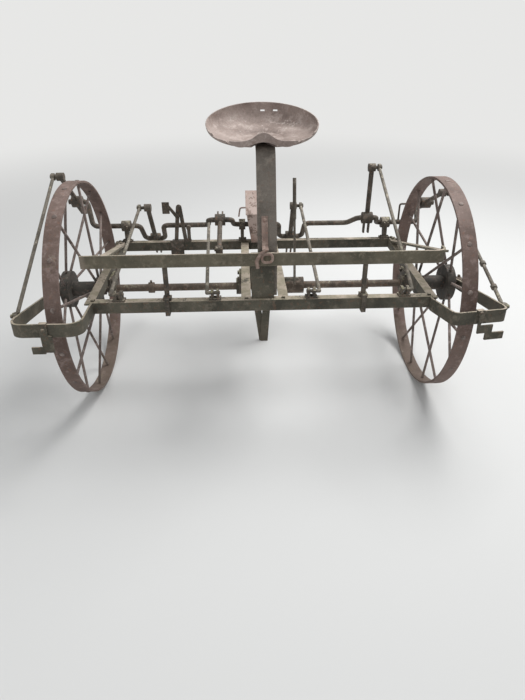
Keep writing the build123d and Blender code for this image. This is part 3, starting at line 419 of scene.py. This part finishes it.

# One finish per kind of surface. Colours are linear. "scale" says how fine the rust's pattern is, "top" and
# "sides" how much pale lichen grows there, where the paleness on top is partly painted sunlight, "wear" how
# bright the edges are, "splash" how high the mud reaches and "bump" how deep the surface's relief is, both in
# metres. The foot bar's left end wears a patch of painted sunlight up to an X given beside its colour, the
# spokes, lighter than the hub partly from their rust and partly from painted sunlight, start at the radius
# "spokeStart", and "paintLeft" is how much of the paint still holds.
finishes = {
    "frameIron": {
        "dark": (0.050, 0.046, 0.034), "middle": (0.098, 0.089, 0.066), "bright": (0.170, 0.148, 0.113),
        "fleck": (0.20, 0.095, 0.055), "fleckShare": 0.25, "scale": 1.0,
        "pale": (0.42, 0.355, 0.280), "green": (0.29, 0.255, 0.185), "top": 0.80, "sides": 0.10,
        "wearColor": (0.30, 0.25, 0.195), "wear": 0.7, "splash": 0.25, "bump": 0.0010,
    },
    "footIron": {
        "dark": (0.085, 0.076, 0.054), "middle": (0.140, 0.124, 0.088), "bright": (0.22, 0.19, 0.14),
        "fleck": (0.22, 0.12, 0.07), "fleckShare": 0.2, "scale": 1.3,
        "pale": (0.47, 0.395, 0.325), "green": (0.31, 0.275, 0.205), "top": 0.88, "sides": 0.10,
        "wearColor": (0.40, 0.34, 0.27), "wear": 0.85, "splash": 0.12, "bump": 0.0009,
        # Painted sunlight on the foot bar's left end: a paler colour, up to a ragged edge at this X.
        "stubColor": (0.27, 0.225, 0.180), "stubEnd": -0.640,
    },
    "wheelRust": {
        "dark": (0.118, 0.080, 0.066), "middle": (0.175, 0.122, 0.103), "bright": (0.27, 0.202, 0.180),
        "fleck": (0.21, 0.105, 0.070), "fleckShare": 0.4, "scale": 1.0,
        "pale": (0.34, 0.28, 0.25), "green": (0.18, 0.165, 0.10), "top": 0.30, "sides": 0.05,
        "wearColor": (0.33, 0.26, 0.235), "wear": 0.7, "splash": 0.28, "bump": 0.0011,
    },
    "hubRust": {
        "dark": (0.034, 0.031, 0.026), "middle": (0.064, 0.058, 0.049), "bright": (0.135, 0.108, 0.092),
        "fleck": (0.17, 0.085, 0.055), "fleckShare": 0.4, "scale": 1.2,
        "pale": (0.30, 0.25, 0.215), "green": (0.17, 0.16, 0.11), "top": 0.30, "sides": 0.06,
        "wearColor": (0.24, 0.185, 0.16), "wear": 0.6, "splash": 0.22, "bump": 0.0010,
        # The spokes' lighter shades: partly their own rust, partly painted sunlight.
        "spokeRustAndSunShades": ((0.110, 0.085, 0.074), (0.210, 0.165, 0.146), (0.38, 0.320, 0.292)),
        "spokeStart": 0.088,
    },
    "seatSteel": {
        "dark": (0.230, 0.178, 0.155), "middle": (0.370, 0.300, 0.268), "bright": (0.50, 0.420, 0.380),
        "fleck": (0.22, 0.125, 0.095), "fleckShare": 0.22, "scale": 0.8,
        "pale": (0.55, 0.49, 0.45), "green": (0.42, 0.38, 0.34), "top": 0.30, "sides": 0.03,
        "wearColor": (0.55, 0.48, 0.44), "wear": 0.8, "splash": 0.05, "bump": 0.0005,
    },
    "postSteel": {
        "dark": (0.105, 0.091, 0.076), "middle": (0.172, 0.150, 0.127), "bright": (0.26, 0.225, 0.190),
        "fleck": (0.20, 0.11, 0.075), "fleckShare": 0.25, "scale": 1.0,
        "pale": (0.42, 0.38, 0.33), "green": (0.26, 0.25, 0.20), "top": 0.30, "sides": 0.06,
        "wearColor": (0.38, 0.33, 0.29), "wear": 0.7, "splash": 0.10, "bump": 0.0007,
    },
    "crankRust": {
        "dark": (0.050, 0.043, 0.034), "middle": (0.105, 0.088, 0.069), "bright": (0.21, 0.172, 0.140),
        "fleck": (0.25, 0.12, 0.065), "fleckShare": 0.45, "scale": 1.4,
        "pale": (0.38, 0.33, 0.26), "green": (0.24, 0.22, 0.15), "top": 0.35, "sides": 0.05,
        "wearColor": (0.28, 0.225, 0.18), "wear": 0.5, "splash": 0.15, "bump": 0.0010,
    },
    "axleRust": {
        "dark": (0.075, 0.057, 0.043), "middle": (0.140, 0.108, 0.082), "bright": (0.26, 0.205, 0.160),
        "fleck": (0.27, 0.13, 0.07), "fleckShare": 0.4, "scale": 1.2,
        "pale": (0.40, 0.35, 0.28), "green": (0.25, 0.23, 0.16), "top": 0.35, "sides": 0.05,
        "wearColor": (0.30, 0.24, 0.19), "wear": 0.5, "splash": 0.15, "bump": 0.0010,
    },
    "rodRust": {
        "dark": (0.090, 0.078, 0.061), "middle": (0.165, 0.148, 0.120), "bright": (0.30, 0.265, 0.220),
        "fleck": (0.24, 0.13, 0.08), "fleckShare": 0.3, "scale": 1.5,
        "pale": (0.44, 0.39, 0.32), "green": (0.30, 0.28, 0.20), "top": 0.40, "sides": 0.06,
        "wearColor": (0.38, 0.32, 0.26), "wear": 0.5, "splash": 0.10, "bump": 0.0007,
    },
    "pinkRust": {
        "dark": (0.165, 0.115, 0.095), "middle": (0.290, 0.208, 0.173), "bright": (0.42, 0.320, 0.270),
        "fleck": (0.30, 0.14, 0.09), "fleckShare": 0.4, "scale": 1.3,
        "pale": (0.50, 0.42, 0.35), "green": (0.32, 0.28, 0.20), "top": 0.30, "sides": 0.05,
        "wearColor": (0.48, 0.37, 0.31), "wear": 0.7, "splash": 0.10, "bump": 0.0008,
    },
    "castIron": {
        "dark": (0.052, 0.045, 0.036), "middle": (0.098, 0.084, 0.066), "bright": (0.18, 0.150, 0.118),
        "fleck": (0.24, 0.12, 0.065), "fleckShare": 0.45, "scale": 1.5,
        "pale": (0.42, 0.37, 0.29), "green": (0.24, 0.23, 0.14), "top": 0.60, "sides": 0.12,
        "wearColor": (0.27, 0.22, 0.175), "wear": 0.7, "splash": 0.20, "bump": 0.0014,
    },
    "casePaint": {
        "dark": (0.165, 0.115, 0.095), "middle": (0.255, 0.185, 0.155), "bright": (0.37, 0.290, 0.250),
        "fleck": (0.28, 0.13, 0.08), "fleckShare": 0.4, "scale": 1.2,
        "pale": (0.58, 0.50, 0.45), "green": (0.46, 0.40, 0.34), "top": 0.40, "sides": 0.08,
        "wearColor": (0.52, 0.43, 0.385), "wear": 0.8, "splash": 0.08, "bump": 0.0008,
        "paint": (0.42, 0.280, 0.235), "faded": (0.59, 0.475, 0.425), "paintLeft": 0.62,
    },
}


def useGroup(tree, name, **values):
    node = addNode(tree, "ShaderNodeGroup", node_tree=groups[name])
    for label, value in values.items():
        join(tree, value, node.inputs[label.replace("_", " ")])
    return node.outputs


def solid(color):
    return (*color, 1)


# Numbers that all finishes share. A share says how strongly a layer covers the ones below, a rise what it adds to
# their height, and a fade or a reach is a length in metres.
layers = {
    "spokeFade": 0.006,
    # The next four shape the patch of painted sunlight on the foot bar's left end: its ragged edge, fade and
    # cover.
    "stubRagged": {"scale": 30, "detail": 5, "rough": 0.7},
    "stubReach": 0.05,
    "stubFade": 0.02,
    "stubShare": 0.65,
    "lipShare": 0.6,
    "grimeShare": 0.30,
    "paintRise": 0.5,
    "paintRough": -0.14,
    "edgeReach": 0.0028,
    "lichenShare": 0.86,
    "lichenRise": 0.45,
    "mudShare": 0.40,
    "mudColor": (0.145, 0.118, 0.085),
    "bumpStrength": 0.75,
    "specular": 0.38,
}


def makeFinish(name, spec):
    # Rust first, in lighter shades on the spokes, which are partly painted sunlight, with a patch of painted
    # sunlight on the foot bar's stub, then any paint, worn edges, lichen, whose paleness on top faces is partly
    # painted sunlight, and mud. The heights of rust, paint and lichen add up in one bump.
    material = bpy.data.materials.new(name)
    material.use_nodes = True
    tree = material.node_tree
    shader = tree.nodes["Principled BSDF"]
    place = addNode(tree, "ShaderNodeTexCoord").outputs["Object"]
    facing = addNode(tree, "ShaderNodeNewGeometry").outputs["Normal"]
    rust = useGroup(
        tree, "rustSkin", Place=place, Scale=spec["scale"], Dark=solid(spec["dark"]),
        Middle=solid(spec["middle"]), Bright=solid(spec["bright"]), Fleck=solid(spec["fleck"]),
        Fleck_Share=spec["fleckShare"],
    )
    color, height, rough = rust["Color"], rust["Height"], rust["Roughness"]
    # The spokes take lighter shades than the hub, partly their own rust and partly painted sunlight.
    if "spokeRustAndSunShades" in spec:
        dark, middle, bright = (solid(shade) for shade in spec["spokeRustAndSunShades"])
        spoke = useGroup(
            tree, "rustSkin", Place=place, Scale=spec["scale"], Dark=dark, Middle=middle, Bright=bright,
            Fleck=solid(spec["fleck"]), Fleck_Share=spec["fleckShare"],
        )
        reach = addNode(tree, "ShaderNodeVectorMath", operation="DISTANCE")
        flat = addNode(tree, "ShaderNodeVectorMath", operation="MULTIPLY")
        join(tree, place, flat.inputs[0])
        join(tree, (0, 1, 1), flat.inputs[1])
        join(tree, flat.outputs[0], reach.inputs[0])
        join(tree, (0, axleBack, wheelRadius), reach.inputs[1])
        start = spec["spokeStart"]
        onSpokes = step(tree, reach.outputs["Value"], start, start + layers["spokeFade"])
        color = blend(tree, onSpokes, color, spoke["Color"])
    # Painted sunlight: the foot bar's left end is paler up to a ragged edge along X.
    if "stubColor" in spec:
        split = addNode(tree, "ShaderNodeSeparateXYZ")
        join(tree, place, split.inputs[0])
        noise = cloud(tree, place, **layers["stubRagged"])
        ragged = calc(tree, "MULTIPLY_ADD", noise, layers["stubReach"], split.outputs["X"])
        inPaintedSun = step(tree, ragged, spec["stubEnd"], spec["stubEnd"] - layers["stubFade"])
        paintedSunCover = calc(tree, "MULTIPLY", inPaintedSun, layers["stubShare"])
        color = blend(tree, paintedSunCover, color, solid(spec["stubColor"]))
    if "paint" in spec:
        paint = useGroup(tree, "peelingPaint", Place=place, Left=spec["paintLeft"])
        coat = blend(tree, paint["Fade"], solid(spec["paint"]), solid(spec["faded"]))
        coat = blend(tree, calc(tree, "MULTIPLY", paint["Lip"], layers["lipShare"]), coat, solid(spec["pale"]))
        grime = blend(tree, layers["grimeShare"], coat, color)
        color = blend(tree, paint["Mask"], color, grime)
        height = calc(tree, "MULTIPLY_ADD", paint["Mask"], layers["paintRise"], height)
        rough = calc(tree, "MULTIPLY_ADD", paint["Mask"], layers["paintRough"], rough)
    wear = useGroup(tree, "edgeWear", Place=place, Facing=facing, Reach=layers["edgeReach"])
    color = blend(tree, calc(tree, "MULTIPLY", wear["Mask"], spec["wear"]), color, solid(spec["wearColor"]))
    lichen = useGroup(
        tree, "lichenCover", Place=place, Facing=facing, Pale=solid(spec["pale"]), Green=solid(spec["green"]),
        Top=spec["top"], Sides=spec["sides"],
    )
    color = blend(tree, calc(tree, "MULTIPLY", lichen["Mask"], layers["lichenShare"]), color, lichen["Color"])
    height = calc(tree, "MULTIPLY_ADD", lichen["Height"], layers["lichenRise"], height)
    splash = useGroup(tree, "groundSplash", Place=place, Reach=spec["splash"])
    mud = calc(tree, "MULTIPLY", splash["Mask"], layers["mudShare"])
    color = blend(tree, mud, color, solid(layers["mudColor"]))
    bump = addNode(tree, "ShaderNodeBump")
    bump.inputs["Strength"].default_value = layers["bumpStrength"]
    bump.inputs["Distance"].default_value = spec["bump"]
    join(tree, height, bump.inputs["Height"])
    join(tree, wear["Rounded"], bump.inputs["Normal"])
    join(tree, color, shader.inputs["Base Color"])
    join(tree, rough, shader.inputs["Roughness"])
    join(tree, bump.outputs["Normal"], shader.inputs["Normal"])
    shader.inputs["Metallic"].default_value = 0.0
    shader.inputs["Specular IOR Level"].default_value = layers["specular"]
    return material


materials = {name: makeFinish(name, spec) for name, spec in finishes.items()}
print("finishes mixed", len(materials))

# Which finish each solid wears, by the start of its name.
wornFinishes = {
    "rim_": "wheelRust",
    "hub_": "hubRust",
    "front_beam": "frameIron",
    "rear_beam": "frameIron",
    "side_member_": "frameIron",
    "centre_member_": "frameIron",
    "wheel_guard_": "frameIron",
    "guard_bracket_": "frameIron",
    "foot_bar": "footIron",
    "foot_stays": "castIron",
    "post_plate": "frameIron",
    "seat_post": "postSteel",
    "seat": "seatSteel",
    "crankshaft": "crankRust",
    "axle": "axleRust",
    "axle_hangers": "castIron",
    "crank_bearing_": "castIron",
    "fork_arm_": "crankRust",
    "control_rod_": "rodRust",
    "rod_brackets": "castIron",
    "lever_arch": "crankRust",
    "hand_lever": "rodRust",
    "hitch_hook": "pinkRust",
    "drive_case": "casePaint",
    "drive_sprocket": "castIron",
    "rear_leg": "frameIron",
}


def wearFinish(name):
    # The longest matching start wins, so that seat_post isn't taken for the seat.
    start = max((key for key in wornFinishes if name.startswith(key)), key=len)
    holder = bpy.data.objects[name]
    for slot in holder.material_slots:
        slot.link = "OBJECT"
        slot.material = materials[wornFinishes[start]]


for nodeName in nodes:
    wearFinish(nodeName)
print("solids finished")

# The machine stands tipped back about its axle. A place on the level machine is measured in metres: X along the
# axle, then to the rear of the axle, then up from the ground.
leanAngle = math.radians(5.14)


def tip(ways):
    # Turns directions from the level machine to the standing one.
    ways = np.asarray(ways, float)
    back = ways[..., 1] * math.cos(leanAngle) + ways[..., 2] * math.sin(leanAngle)
    up = ways[..., 2] * math.cos(leanAngle) - ways[..., 1] * math.sin(leanAngle)
    return np.stack([ways[..., 0], back, up], axis=-1)


def stand(places):
    # Turns places the same way, about the axle.
    middle = np.array([0, 0, wheelRadius])
    return tip(np.asarray(places, float) - middle) + middle + np.array([0, axleBack, 0])


def addPiece(name, points, faces, body, finish, smooth):
    mesh = bpy.data.meshes.new(name)
    mesh.from_pydata(points.tolist(), [], faces)
    mesh.polygons.foreach_set("use_smooth", [smooth] * len(faces))
    mesh.materials.append(materials[finish])
    piece = bpy.data.objects.new(name, mesh)
    bpy.context.scene.collection.objects.link(piece)
    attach(piece, body)
    return piece


def capped(rows, columns):
    # Faces of a closed skin of rings, one above the other, with a pole after them at each end.
    row, column = np.meshgrid(np.arange(rows - 1), np.arange(columns), indexing="ij")
    along = (column + 1) % columns
    quads = np.stack([row * columns + column, row * columns + along, (row + 1) * columns + along,
                      (row + 1) * columns + column], axis=-1).reshape(-1, 4)
    here = np.arange(columns)
    ahead = (here + 1) % columns
    lowPole = np.full(columns, rows * columns)
    highPole, topRing = lowPole + 1, (rows - 1) * columns
    bottom = np.stack([ahead, here, lowPole], axis=-1)
    top = np.stack([topRing + here, topRing + ahead, highPole], axis=-1)
    return quads, np.concatenate([bottom, top])


# The outlines of a head, from its foot to its top: share of the radius and share of the rise. A dome's rings go
# up a quarter circle and stop short of its pole.
domeAngles = np.linspace(0, 1.35, 5)
headOutlines = {
    "dome": [(math.cos(angle), math.sin(angle)) for angle in domeAngles],
    "flat": [(1.0, 0.0), (1.0, 0.80), (0.88, 1.0)],
}
chance = np.random.default_rng(7)


def addHeads(name, spec, spots, ways, body="frame"):
    # Each ring is a circle, or a polygon whose reach is cos(half a side's angle) / cos(angle from that side's
    # middle). The rings shrink along the head's outline, and one such skin stands at each spot along its way.
    sides, columns = spec["sides"], spec["columns"]
    outline = np.array(headOutlines[spec["outline"]])
    angle = np.arange(columns) * 2 * math.pi / columns
    reach = np.ones(columns)
    if sides:
        half = math.pi / sides
        reach = math.cos(half) / np.cos((angle + half) % (2 * half) - half)
    across = outline[:, :1] * reach * spec["radius"]
    rings = np.stack([across * np.cos(angle), across * np.sin(angle),
                      np.repeat(outline[:, 1:] * spec["rise"], columns, axis=1)], axis=-1).reshape(-1, 3)
    local = np.concatenate([rings, [[0, 0, 0], [0, 0, spec["rise"]]]])
    spots, ways = np.asarray(spots, float), np.asarray(ways, float)
    count = len(spots)
    nearlyAlongX = np.abs(ways[:, :1]) > 0.9
    aside = np.cross(ways, np.where(nearlyAlongX, [[0.0, 1.0, 0.0]], [[1.0, 0.0, 0.0]]))
    aside /= np.linalg.norm(aside, axis=1, keepdims=True)
    third = np.cross(ways, aside)
    turn = chance.uniform(-1, 1, (count, 1)) * spec["turned"]
    first = aside * np.cos(turn) + third * np.sin(turn)
    second = np.cross(ways, first)
    basis = np.stack([first, second, ways], axis=1)
    points = (np.einsum("pk,ska->spa", local, basis) + spots[:, None]).reshape(-1, 3)
    quads, fans = capped(len(outline), columns)
    start = np.arange(count)[:, None, None] * len(local)
    faces = (quads + start).reshape(-1, 4).tolist() + (fans + start).reshape(-1, 3).tolist()
    return addPiece(name, points, faces, body, spec["finish"], spec["outline"] == "dome")


def addLevelHeads(name, spec, rows):
    # Heads from rows that give a place and a way on the level machine.
    addHeads(name, spec, stand([place for place, way in rows]), tip([way for place, way in rows]))


def rounded(corners, cut, count=6):
    # A path through straight runs: each inner corner becomes a quadratic curve of "count" points, which starts
    # and ends a cut away from it.
    corners = np.asarray(corners, float)
    share = np.linspace(0, 1, count)[:, None]
    path = [corners[:1]]
    for before, corner, after in zip(corners, corners[1:], corners[2:]):
        start = corner + (before - corner) / np.linalg.norm(before - corner) * cut
        end = corner + (after - corner) / np.linalg.norm(after - corner) * cut
        path.append((1 - share) ** 2 * start + 2 * share * (1 - share) * corner + share**2 * end)
    path.append(corners[-1:])
    return np.concatenate(path)


def addWires(name, spec, paths, body="frame"):
    # Round wires: a circle stands across each path at every point, in a frame whose first side stays square to
    # the path's own plane.
    columns = spec["columns"]
    angle = np.arange(columns) * 2 * math.pi / columns
    everyPoint, faces, first = [], [], 0
    for path in paths:
        along = np.gradient(path, axis=0)
        along /= np.linalg.norm(along, axis=1, keepdims=True)
        aside = np.tile(spec["square"], (len(path), 1))
        third = np.cross(along, aside)
        third /= np.linalg.norm(third, axis=1, keepdims=True)
        aside = np.cross(third, along)
        circle = aside[:, None] * np.cos(angle)[:, None] + third[:, None] * np.sin(angle)[:, None]
        rings = path[:, None] + circle * spec["radius"]
        everyPoint += [rings.reshape(-1, 3), path[:1], path[-1:]]
        quads, fans = capped(len(path), columns)
        faces += (quads + first).tolist() + (fans + first).tolist()
        first += len(path) * columns + 2
    return addPiece(name, np.concatenate(everyPoint), faces, body, spec["finish"], True)


# Vertices less than this far behind the farthest one count as one face with it, in metres.
faceDepth = 0.0003


def endOf(node, side, inset):
    # The middle of a node's farthest face along X, from its vertices, moved back into the node by the inset.
    mesh = nodes[node].data
    points = np.empty(len(mesh.vertices) * 3)
    mesh.vertices.foreach_get("co", points)
    points = points.reshape(-1, 3)
    reach = points[:, 0] * side
    face = points[reach > reach.max() - faceDepth]
    return (face.max(axis=0) + face.min(axis=0)) / 2 - np.array([side * inset, 0, 0])


# Rivets on the treads, one over each spoke. The one that would stand under the ground is left off.
treadRivets = {
    "radius": 0.0105, "rise": 0.0030, "sides": 0, "columns": 12, "outline": "dome", "turned": 0.0,
    "slot": "rusted_steel", "finish": "hubRust",
    "count": 16, "turns": {"left": math.radians(6.0), "right": math.radians(1.5)}, "lowest": 0.0004,
}
for side, name in ((-1, "left"), (1, "right")):
    angle = treadRivets["turns"][name] + np.arange(treadRivets["count"]) * 2 * math.pi / treadRivets["count"]
    ways = np.stack([np.zeros_like(angle), np.cos(angle), np.sin(angle)], axis=-1)
    spots = ways * wheelRadius + np.array([side * rimMiddle, axleBack, wheelRadius])
    above = (spots + ways * treadRivets["rise"])[:, 2] > treadRivets["lowest"]
    addHeads(f"treadRivets_{name}", treadRivets, spots[above], ways[above], f"wheel_{name}")
print("tread rivets set")

# Square bolt heads and nuts. The rows give X, back, up and the way that each head faces.
frameTop = 0.566
crankBack, crankUp = 0.482, 0.648
sideways = {-1: (-1.0, 0.0, 0.0), 1: (1.0, 0.0, 0.0)}
upward, downward, backward = (0.0, 0.0, 1.0), (0.0, 0.0, -1.0), (0.0, 1.0, 0.0)
ironHead = {
    "sides": 4, "columns": 8, "outline": "flat", "turned": 0.35, "slot": "cast_iron", "finish": "castIron",
}

# The crankshaft's bearings: X, and how far from it the bolts through the foot stand.
bearings = [(-0.696, 0.018), (-0.078, 0.015), (0.066, 0.015), (0.696, 0.018)]
capBolts = {**ironHead, "radius": 0.0078, "rise": 0.0085, "apart": 0.035, "half": 0.006}
rows = [((x, crankBack + off, crankUp + way[2] * capBolts["half"]), way)
        for x, _ in bearings for off in (-capBolts["apart"], capBolts["apart"]) for way in (upward, downward)]
addLevelHeads("capBolts", capBolts, rows)

footBolts = {**ironHead, "radius": 0.0055, "rise": 0.006, "back": 0.470, "up": frameTop + 0.009}
rows = [((x + way * apart, footBolts["back"], footBolts["up"]), upward)
        for x, apart in bearings for way in (-1, 1)]
addLevelHeads("bearingFootBolts", footBolts, rows)

# The axle's collars: X and radius.
collars = [(-0.946, 0.026), (-0.7307, 0.029), (-0.507, 0.025), (0.498, 0.025), (0.7307, 0.029), (0.946, 0.026)]
collarScrews = {**ironHead, "radius": 0.0068, "rise": 0.010, "slot": "rusted_steel", "finish": "axleRust"}
addLevelHeads("collarScrews", collarScrews, [((x, 0, wheelRadius + radius), upward) for x, radius in collars])

# The hangers' faces: X, and the side that each one faces.
hangerFaces = [(-0.6786, 1), (0.6786, -1), (-0.0963, -1)]
hangerBolts = {**ironHead, "radius": 0.0095, "rise": 0.008, "apart": 0.042, "up": 0.532}
rows = [((x, off, hangerBolts["up"]), sideways[way]) for x, way in hangerFaces
        for off in (-hangerBolts["apart"], hangerBolts["apart"])]
addLevelHeads("hangerBolts", hangerBolts, rows)

frameBolts = {**ironHead, "radius": 0.0095, "rise": 0.0075, "slot": "mossy_frame_iron", "finish": "frameIron"}
frameSpots = [
    (-0.676, -0.364, frameTop), (0.676, -0.364, frameTop), (-0.736, 0.466, frameTop), (0.736, 0.466, frameTop),
    (-0.064, -0.364, frameTop), (0.084, -0.364, frameTop), (-0.724, 0.425, 0.5693), (0.734, 0.425, 0.5693),
]
addLevelHeads("frameBolts", frameBolts, [(spot, upward) for spot in frameSpots])

earBolts = {**ironHead, "radius": 0.005, "rise": 0.005, "back": -0.362, "up": 0.573}
earPlaces = (-0.572, -0.190, 0.196, 0.572)
addLevelHeads("earBolts", earBolts, [((x, earBolts["back"], earBolts["up"]), upward) for x in earPlaces])

postNuts = {**ironHead, "radius": 0.0125, "rise": 0.010, "slot": "rusted_steel", "finish": "postSteel"}
postSpots = [(0.020, -0.349, 0.615), (0.020, -0.349, 0.700)]
addLevelHeads("postNuts", postNuts, [(spot, backward) for spot in postSpots])

studNuts = {**ironHead, "radius": 0.0145, "rise": 0.009, "inset": 0.0145}
spots = [endOf(f"wheel_guard_{name}", side, studNuts["inset"]) for side, name in ((-1, "left"), (1, "right"))]
addHeads("studNuts", studNuts, spots, [sideways[-1], sideways[1]])
print("bolts set")

# Round heads: a rivet on the hook's strip, one on each guard's bracket, and two bolts in the seat's floor.
roundHead = {"sides": 0, "columns": 12, "outline": "dome", "turned": 0.0, "slot": "rusted_steel"}
stripRivet = {**roundHead, "finish": "pinkRust", "radius": 0.007, "rise": 0.0035}
addLevelHeads("stripRivet", stripRivet, [((0.011, -0.3176, 0.8681), (0, -0.9278, 0.3732))])

bracketRivets = {**roundHead, "finish": "frameIron", "radius": 0.009, "rise": 0.005}
rows = [((-0.804, -0.583, 0.545), (0.0, -1.0, 0.0)), ((0.8185, -0.5444, 0.560), (0.1531, -0.9882, 0.0))]
addLevelHeads("bracketRivets", bracketRivets, rows)

# The seat's bolts stand square to its tipped floor, before and behind one spot on it.
seatBolts = {**roundHead, "finish": "seatSteel", "radius": 0.012, "rise": 0.0035, "offsets": (-0.018, 0.036)}
seatX, seatBack, seatUp = 0.012, -0.080, 1.136
seatTip = math.radians(10.0)
rows = [((seatX, seatBack + off * math.cos(seatTip), seatUp + off * math.sin(seatTip)),
         (0, -math.sin(seatTip), math.cos(seatTip))) for off in seatBolts["offsets"]]
addLevelHeads("seatBolts", seatBolts, rows)

# Washers and split pins that hold the rods' eyes on the arms' joint pins. Fork three has none, because it has
# come off its rod. Each fork's number goes with the side that its pin points to.
rodSides = {1: -1, 2: -1, 4: 1, 5: 1, 6: 1}
rodWashers = {**roundHead, "outline": "flat", "finish": "rodRust", "slot": "control_rod_steel",
              "radius": 0.0135, "rise": 0.0018, "inset": 0.0072}
spots = [endOf(f"fork_arm_{fork}", side, rodWashers["inset"]) for fork, side in rodSides.items()]
addHeads("rodWashers", rodWashers, spots, [sideways[side] for side in rodSides.values()])

splitPins = {"radius": 0.0015, "columns": 8, "square": (1.0, 0.0, 0.0), "slot": "control_rod_steel",
             "finish": "rodRust", "inset": 0.0030, "cut": 0.003,
             "corners": [(0.0, 0.0, 0.013), (0.0, 0.0, -0.012), (0.0, 0.007, -0.017)]}
spots = [endOf(f"fork_arm_{fork}", side, splitPins["inset"]) for fork, side in rodSides.items()]
addWires("splitPins", splitPins, [rounded(spot + splitPins["corners"], splitPins["cut"]) for spot in spots])

# A bent latch that stands on the crankshaft behind the right wheel's rim.
bentLatch = {"radius": 0.005, "columns": 12, "square": (0.0, 1.0, 0.0), "slot": "rusted_steel",
             "finish": "crankRust", "cut": 0.012,
             "corners": [(0.768, crankBack, 0.658), (0.768, crankBack, 0.744), (0.806, crankBack, 0.744)]}
addWires("bentLatch", bentLatch, [rounded(stand(bentLatch["corners"]), bentLatch["cut"])])
print("rivets, pins and latch set")
